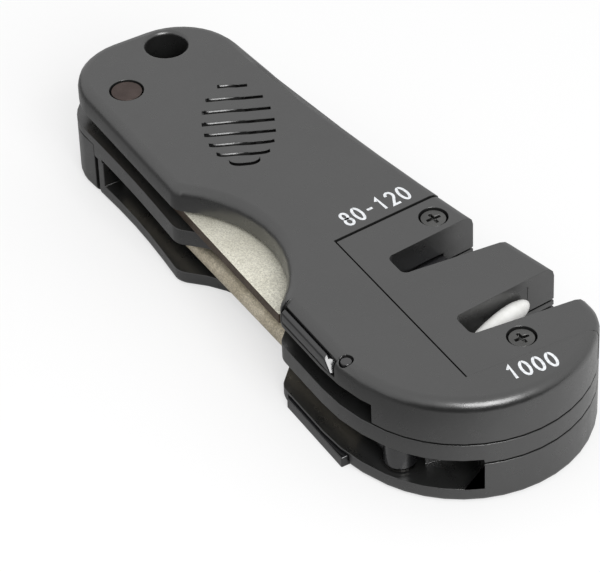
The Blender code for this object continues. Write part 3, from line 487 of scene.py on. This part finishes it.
def close_crease(bm):
    """Bring the guide block's right side close to the cover."""
    start = min(v.co.y for v in bm.verts)
    foot = max(v.co.x for v in bm.verts if v.co.y < start + MATCH)
    for vert in bm.verts:
        if abs(vert.co.x - foot - (vert.co.y - start) * math.tan(CREASE_LEAN)) < MATCH:
            vert.co.x += CREASE_FILL


def raise_head(bm):
    """Bring a guide screw's head and cross nearer to the face."""
    top = max(v.co.z for v in bm.verts)
    for vert in bm.verts:
        if vert.co.z > top - SCREW_HEAD:
            vert.co.z += SCREW_RAISE


def slope_end(bm):
    """Slope the catch bar's head end, so that it catches the light."""
    way = Vector(CATCH_SLOPE).normalized()
    parts = bm.verts[:] + bm.edges[:] + bm.faces[:]
    bmesh.ops.bisect_plane(bm, geom=parts, plane_co=way * CATCH_REACH, plane_no=way, clear_outer=True)
    rims = [edge for edge in bm.edges if edge.is_boundary]
    bmesh.ops.holes_fill(bm, edges=rims, sides=0)


def lofted(name, rings):
    """Skin a row of closed rings and cap both ends."""
    bm = bmesh.new()
    rows = [[bm.verts.new(point) for point in ring] for ring in rings]
    for low, high in zip(rows, rows[1:]):
        for index in range(len(low)):
            after = (index + 1) % len(low)
            bm.faces.new((low[index], low[after], high[after], high[index]))
    bm.faces.new(reversed(rows[0]))
    bm.faces.new(rows[-1])
    bmesh.ops.recalc_face_normals(bm, faces=bm.faces)
    mesh = bpy.data.meshes.new(name)
    bm.to_mesh(mesh)
    bm.free()
    made = bpy.data.objects.new(name, mesh)
    bpy.context.collection.objects.link(made)
    return made


def carve(target, cutters):
    """Cut pieces out of a target, apply the cuts and remove the cutters."""
    for cutter in cutters:
        modifier = target.modifiers.new(cutter.name, "BOOLEAN")
        modifier.solver = "EXACT"
        modifier.object = cutter
    graph = bpy.context.evaluated_depsgraph_get()
    mesh = bpy.data.meshes.new_from_object(target.evaluated_get(graph))
    target.modifiers.clear()
    target.data = mesh
    for cutter in cutters:
        bpy.data.objects.remove(cutter)


def grip_groove(index):
    """Shape one grip groove: a shallow bright lip at its -Y end, deep and dark at its +Y end."""
    along = Vector((math.cos(GRIP_ANGLE), math.sin(GRIP_ANGLE), 0))
    across = Vector((along.y, -along.x, 0))
    up = Vector((0, 0, 1))
    row = (GRIP_COUNT - 1) * (GRIP_FIRST_PITCH - GRIP_PITCH_DROP * (GRIP_COUNT - 2) / 2)
    shift = index * (GRIP_FIRST_PITCH - GRIP_PITCH_DROP * (index - 1) / 2) - row / 2
    half = GRIP_HALF * math.sqrt(1 - (shift / (row / 2 + GRIP_END_MARGIN)) ** 2)
    middle = grip_middle() - up * FACE_DROP + across * shift
    last = index == GRIP_COUNT - 1
    power = LAST_POWER if last else HOOK_POWER
    left_lift = LAST_HOOK if last else HOOK_LEFT * max(0, index - HOOK_LEFT_AFTER)
    right_lift = LAST_HOOK if last else HOOK_RIGHT * max(0, index - HOOK_RIGHT_AFTER)
    stations = ((1 - math.cos(math.pi * k / GRIP_STATIONS)) / 2 for k in range(GRIP_STATIONS))
    shares = sorted(set(GRIP_SHARES) | set(stations))
    rings = []
    for share in shares:
        place = 2 * share - 1
        lift = (left_lift if place < 0 else right_lift) * abs(place) ** power
        centre = middle + along * half * place - across * lift
        after = next(k for k in range(1, len(GRIP_SHARES)) if share <= GRIP_SHARES[k])
        part = (share - GRIP_SHARES[after - 1]) / (GRIP_SHARES[after] - GRIP_SHARES[after - 1])
        first, second = (GRIP_DEEP, GRIP_DEEP) if last else GRIP_SECTIONS[after - 1:after + 1]
        ring = []
        for (v0, z0), (v1, z1) in zip(first, second):
            point = across * (v0 + (v1 - v0) * part) + up * (z0 + (z1 - z0) * part)
            ring.append(centre + point / MILLIMETRES)
        rings.append(ring)
    return lofted(f"grip_groove_{index}", rings)


def skin(node, body, look, edge, change=None, cutters=()):
    """Dress a CAD node in a copy of itself with rounded edges and a finish."""
    made = clean_copy(node, change)
    if cutters:
        carve(made, cutters)
    made.data.materials.clear()
    made.data.materials.append(look)
    made.data.shade_smooth()
    made.data.set_sharp_from_angle(angle=BEVEL_ANGLE)
    rounding = made.modifiers.new("edges", "BEVEL")
    rounding.width = edge
    rounding.segments = EDGE_SEGMENTS
    rounding.limit_method = "ANGLE"
    rounding.angle_limit = BEVEL_ANGLE
    rounding.use_clamp_overlap = False
    weight = made.modifiers.new("normals", "WEIGHTED_NORMAL")
    weight.keep_sharp = False
    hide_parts(node)
    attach(made, body)
    return made


def side_faces(made, look):
    """Give a flat piece's side faces their own finish."""
    made.data.materials.append(look)
    for face in made.data.polygons:
        if abs(face.normal.z) < math.cos(SIDE_ANGLE):
            face.material_index = 1


def ceramic_rod(node, side, look):
    """Turn a ceramic rod with a long rounded nose at each end."""
    low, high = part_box(node)
    middle = (low + high) / 2
    way = Vector((-side * math.sin(CERAMIC_LEAN), math.cos(CERAMIC_LEAN), 0))
    across = Vector((way.y, -way.x, 0))
    up = Vector((0, 0, 1))
    rings = []
    for share, radius in CERAMIC_PROFILE:
        ring = []
        for index in range(CERAMIC_SIDES):
            turn = 2 * math.pi * index / CERAMIC_SIDES
            rim = across * math.cos(turn) + up * math.sin(turn)
            ring.append(middle + way * share * CERAMIC_LENGTH + rim * radius / MILLIMETRES)
        rings.append(ring)
    made = lofted(node + "_skin", rings)
    made.data.materials.append(look)
    made.data.shade_smooth()
    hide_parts(node)
    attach(made, "handle")


def close_pocket(look):
    """Close the top of the front ceramic rod's pocket in the notch's wall."""
    (x0, y0), (x1, y1) = POCKET_ENDS
    plan = ((x0 - POCKET_DEPTH, y0), (x0, y0), (x1, y1), (x1 - POCKET_DEPTH, y1))
    made = lofted("pocket_wall", [[Vector((x, y, z)) for x, y in plan] for z in POCKET_HEIGHTS])
    made.data.materials.append(look)
    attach(made, "handle")


def ribbon(points, width):
    """Give the outline of a flat stroke along a polyline, with mitred corners."""
    left = []
    right = []
    for index, point in enumerate(points):
        ways = []
        if index:
            ways.append((point - points[index - 1]).normalized())
        if index + 1 < len(points):
            ways.append((points[index + 1] - point).normalized())
        way = sum(ways, Vector((0, 0))).normalized()
        side = Vector((-way.y, way.x)) * width / 2 / max(MITRE_LIMIT, way.dot(ways[0]))
        left.append(point + side)
        right.append(point - side)
    return left + right[::-1]


def arc_points(middle, reach, start, end, count):
    """List points along an elliptic arc, in degrees with y downward."""
    turns = [math.radians(start + (end - start) * step / count) for step in range(count + 1)]
    return [(middle[0] + reach[0] * math.cos(turn), middle[1] - reach[1] * math.sin(turn)) for turn in turns]


def glyph_strokes(glyph):
    """List a sign's strokes in a box of 1 by 1, with y downward."""
    ring = arc_points((0.5, 0.5), (0.5, 0.5), 90, 450, 24)
    bowl = arc_points((0.5, 0.28), (0.47, 0.28), 170, -30, 12)
    upper = arc_points((0.5, 0.25), (0.42, 0.25), -90, 270, 18)
    lower = arc_points((0.5, 0.74), (0.5, 0.26), 90, 450, 20)
    strokes = {
        "0": [ring],
        "1": [[(0.18, 0.24), (0.56, 0.0), (0.56, 1.0)]],
        "2": [bowl + [(0.03, 1.0), (1.0, 1.0)]],
        "8": [upper, lower],
        "-": [[(0.1, 0.52), (0.9, 0.52)]],
    }
    return strokes[glyph]


def print_marks(name, area, text, look):
    """Print a row of numbers in the area of a mark."""
    (left, top), angle, length, height = area
    face = grip_middle().z - INK_DROP
    read = Vector((math.cos(angle), math.sin(angle)))
    down = Vector((read.y, -read.x))
    corner = Vector((left, top))
    pitch = length / (len(text) - 1 + GLYPH_SHARE)
    wide = pitch * GLYPH_SHARE - STROKE_WIDTH
    tall = height - STROKE_WIDTH
    half = STROKE_WIDTH / 2
    outlines = []
    for place, glyph in enumerate(text):
        for line in glyph_strokes(glyph):
            points = [Vector((place * pitch + half + x * wide, half + y * tall)) for x, y in line]
            outlines.append(ribbon(points, STROKE_WIDTH))
    bm = bmesh.new()
    for outline in outlines:
        for index in range(len(outline) // 2 - 1):
            quad = (outline[index], outline[index + 1], outline[-index - 2], outline[-index - 1])
            flat = [corner + read * point.x + down * point.y for point in quad]
            lower, upper = ([bm.verts.new((x, y, z)) for x, y in flat] for z in (face - INK_DEPTH, face))
            for near in range(4):
                far = (near + 1) % 4
                bm.faces.new((lower[near], lower[far], upper[far], upper[near]))
            bm.faces.new(lower[::-1])
            bm.faces.new(upper)
    bmesh.ops.recalc_face_normals(bm, faces=bm.faces)
    mesh = bpy.data.meshes.new(name)
    bm.to_mesh(mesh)
    bm.free()
    made = bpy.data.objects.new(name, mesh)
    bpy.context.collection.objects.link(made)
    made.data.materials.append(look)
    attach(made, "handle")


def finish_node(node, look):
    """Give a CAD node that stays a better material."""
    NODES[node].data.materials.clear()
    NODES[node].data.materials.append(look)


def dress():
    """Dress every node of the sharpener."""
    cover = moulded_plastic("cover_plastic", COVER_BLACK, COVER_ROUGHNESS, COVER_GRAIN_DEPTH, COVER_SPECULAR)
    gloss = moulded_plastic("gloss_plastic", GLOSS_BLACK, GLOSS_ROUGHNESS, GLOSS_GRAIN_DEPTH, GLOSS_SPECULAR)
    black = machined_steel("black_steel", BLACK_STEEL, STEEL_ROUGHNESS)
    head = machined_steel("screw_steel", SCREW_STEEL, STEEL_ROUGHNESS)
    pin = machined_steel("pin_steel", PIN_STEEL, PIN_ROUGHNESS)
    grooves = [grip_groove(index) for index in range(GRIP_COUNT)]
    skin("front_cover", "handle", cover, FINE_EDGE, plain_face, grooves)
    skin("guide_block", "handle", cover, FINE_EDGE, close_crease)
    for node in ("divider_plate", "rear_cover"):
        skin(node, "handle", cover, FINE_EDGE, join_near)
    close_pocket(cover)
    for node in ("guide_screw_coarse", "guide_screw_fine"):
        skin(node, "handle", head, FINE_EDGE, raise_head)
    skin("file_pivot_pin", "handle", pin, FINE_EDGE)
    skin("front_catch_pin", "handle", gloss, SOFT_EDGE)
    skin("front_catch", "handle", gloss, SOFT_EDGE, slope_end)
    skin("rear_catch", "handle", gloss, SOFT_EDGE)
    for node in ("rod_pivot_screw", "rear_catch_pin"):
        skin(node, "handle", black, FINE_EDGE)
    for node in ("carbide_blade_front", "carbide_blade_rear"):
        skin(node, "handle", ground_carbide(node + "_look"), FINE_EDGE)
    for node, side in (("ceramic_rod_front", 1), ("ceramic_rod_rear", -1)):
        ceramic_rod(node, side, fired_ceramic(node + "_look"))
    grit = diamond_grit("file_grit", FILE_GRIT, FILE_WORN)
    made = skin("file_plate", "file", grit, FINE_EDGE)
    # The file's side faces take a steel finish darkened as painted shade
    side_faces(made, machined_steel("file_side_painted_shade", FILE_SIDE_PAINTED_SHADE, FILE_SIDE_ROUGHNESS))
    rod_grit = diamond_grit("rod_grit", ROD_GRIT, ROD_WORN)
    skin("diamond_rod", "rod", rod_grit, FINE_EDGE)
    skin("rod_hub", "rod", gloss, FINE_EDGE)
    for node in ("file_washer", "file_wave_washer", "rod_washer", "rod_wave_washer"):
        finish_node(node, black)
    ink = print_ink("print_ink")
    print_marks("print_coarse", MARK_ONE, "80-120", ink)
    print_marks("print_fine", MARK_TWO, "1000", ink)


# Stage

def area_light(name, azimuth, elevation, distance, size, power):
    """Add a soft box that faces the middle of the object from a direction."""
    level = math.cos(elevation)
    way = Vector((level * math.cos(azimuth), level * math.sin(azimuth), math.sin(elevation)))
    light = bpy.data.lights.new(name, "AREA")
    light.shape = "RECTANGLE"
    light.size, light.size_y = size
    light.energy = power
    made = bpy.data.objects.new(name, light)
    bpy.context.collection.objects.link(made)
    made.location = Vector((0, 0, cad_bounds[1].z / 2)) + way * distance
    made.rotation_euler = way.to_track_quat("Z", "Y").to_euler()


def make_floor():
    """Lay a pale floor that keeps the object's shadow and is near white to the camera, with painted shade
    for other rays.
    """
    bm = bmesh.new()
    corners = ((-1, -1), (1, -1), (1, 1), (-1, 1))
    bm.faces.new([bm.verts.new((x * FLOOR_HALF, y * FLOOR_HALF, -FLOOR_GAP)) for x, y in corners])
    mesh = bpy.data.meshes.new("floor")
    bm.to_mesh(mesh)
    bm.free()
    floor = bpy.data.objects.new("floor", mesh)
    bpy.context.collection.objects.link(floor)
    look, tree, shader = new_material("floor_look", (FLOOR_COLOUR,) * 3, FLOOR_ROUGHNESS, specular=0.0)
    mesh.materials.append(look)
    white = tree.nodes.new("ShaderNodeEmission")
    paths = tree.nodes.new("ShaderNodeLightPath")
    place = tree.nodes.new("ShaderNodeTexCoord")
    parts = tree.nodes.new("ShaderNodeSeparateXYZ")
    tree.links.new(place.outputs["Object"], parts.inputs["Vector"])
    low, high = FLOOR_SHADE_Y
    side = math_node(tree, "MULTIPLY_ADD", parts.outputs["Y"], 1 / (high - low), -low / (high - low))
    front = tree.nodes.new("ShaderNodeVectorMath")
    front.operation = "DOT_PRODUCT"
    front.inputs[1].default_value = FRONT_WAY
    tree.links.new(place.outputs["Object"], front.inputs[0])
    low, high = FLOOR_FRONT
    far = math_node(tree, "MULTIPLY_ADD", front.outputs["Value"], 1 / (high - low), -low / (high - low))
    far = ramp(tree, far, (0.0, (0.0,)), (1.0, (1.0,)))
    # Painted shade: to all but camera rays the floor is darker on the -Y side and nearly black far in front
    shade = ramp(tree, side, *((float(k), (value,)) for k, value in enumerate(FLOOR_PAINTED_SHADES)))
    shade = mix(tree, far, shade, (FLOOR_FAR_PAINTED_SHADE,) * 3)
    shade = mix(tree, paths.outputs["Is Camera Ray"], shade, (FLOOR_COLOUR,) * 3)
    tree.links.new(shade, shader.inputs["Base Color"])
    glow = math_node(tree, "MULTIPLY_ADD", far, 1 - FLOOR_GLOW, FLOOR_GLOW)
    glow = math_node(tree, "MULTIPLY", glow, paths.outputs["Is Camera Ray"])
    blend = tree.nodes.new("ShaderNodeMixShader")
    tree.links.new(glow, blend.inputs["Fac"])
    tree.links.new(shader.outputs["BSDF"], blend.inputs[1])
    tree.links.new(white.outputs["Emission"], blend.inputs[2])
    tree.links.new(blend.outputs["Shader"], tree.nodes["Material Output"].inputs["Surface"])


def make_studio():
    """Make an even dome with a dark stretch of horizon in front, and a soft box on that side."""
    world = bpy.data.worlds.new("studio")
    bpy.context.scene.world = world
    world.use_nodes = True
    tree = world.node_tree
    place = tree.nodes.new("ShaderNodeTexCoord")
    parts = tree.nodes.new("ShaderNodeSeparateXYZ")
    tree.links.new(place.outputs["Generated"], parts.inputs["Vector"])
    stops = ((0.0, (HORIZON_LIGHT,)), (LOW_SKY_SINE, (LOW_SKY_LIGHT,)), (SKY_SINE, (SKY_LIGHT,)))
    dome = ramp(tree, parts.outputs["Z"], *stops)
    backdrop = ramp(tree, parts.outputs["Z"], (0.0, (BACKDROP_LIGHT,)), (SKY_SINE, (SKY_LIGHT,)))
    facing = tree.nodes.new("ShaderNodeVectorMath")
    facing.operation = "DOT_PRODUCT"
    facing.inputs[1].default_value = FRONT_WAY
    tree.links.new(place.outputs["Generated"], facing.inputs[0])
    front = ramp(tree, facing.outputs["Value"], (FRONT_START, (0.0,)), (FRONT_FULL, (1.0,)))
    tree.links.new(mix(tree, front, backdrop, dome), tree.nodes["Background"].inputs["Color"])
    tree.nodes["Background"].inputs["Strength"].default_value = 1.0
    area_light("key_light", KEY_AZIMUTH, KEY_ELEVATION, KEY_DISTANCE, KEY_SIZE, KEY_POWER)


def make_camera():
    """Place the camera that the photograph was taken with."""
    camera = bpy.data.cameras.new("photo_camera")
    camera.sensor_fit = "HORIZONTAL"
    camera.sensor_width = SENSOR_WIDTH
    camera.lens = FOCAL_PIXELS / PHOTO_WIDTH * SENSOR_WIDTH
    camera.shift_x = (PHOTO_WIDTH / 2 - AXIS_PIXEL[0]) / PHOTO_WIDTH
    camera.shift_y = (AXIS_PIXEL[1] - PHOTO_HEIGHT / 2) / PHOTO_WIDTH
    camera.clip_start = CLIP_NEAR
    camera.clip_end = CLIP_FAR
    made = bpy.data.objects.new("photo_camera", camera)
    bpy.context.collection.objects.link(made)
    made.location = CAMERA_PLACE
    made.rotation_euler = CAMERA_TURN
    bpy.context.scene.camera = made


dress()
make_floor()
make_studio()
make_camera()
bpy.context.scene.view_settings.view_transform = "Standard"
